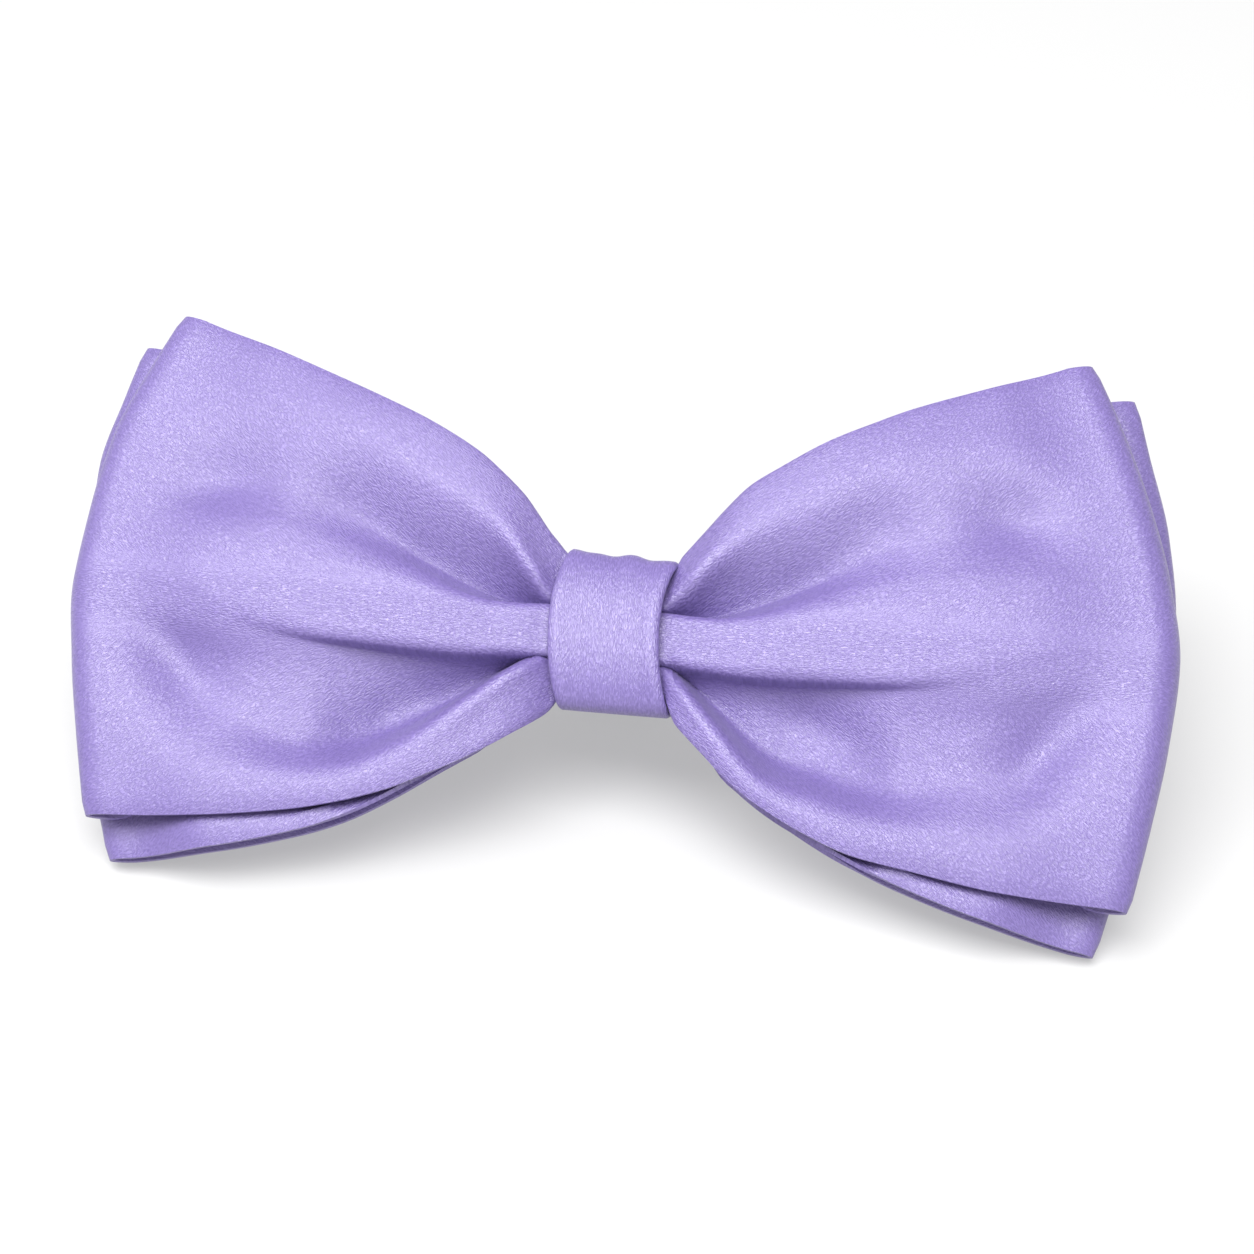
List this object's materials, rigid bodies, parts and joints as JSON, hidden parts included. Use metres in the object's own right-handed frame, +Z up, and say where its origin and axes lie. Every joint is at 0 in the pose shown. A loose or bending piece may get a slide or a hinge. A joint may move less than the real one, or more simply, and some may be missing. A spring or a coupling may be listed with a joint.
{
  "type": "pre-tied bow tie",
  "caption": "Pre-tied double bow tie in satin, leaning back on its lower rear corners and on a metal collar clip behind the knot.",
  "frame": {"origin": "middle of the footprint, on the table that the lower rear corners and the clip's lip stand on", "axes": "+X along the bow, the front faces -Y and looks upward, +Z up"},
  "size_m": [0.1224, 0.0574, 0.0394],
  "materials": {
    "bow_satin": "satin",
    "band_satin": "satin",
    "clip_metal": "satin"
  },
  "bodies": {
    "root": {"front_bow": "bow_satin", "rear_bow": "bow_satin", "knot_band": "band_satin", "collar_clip": "clip_metal"}
  },
  "joints": []
}
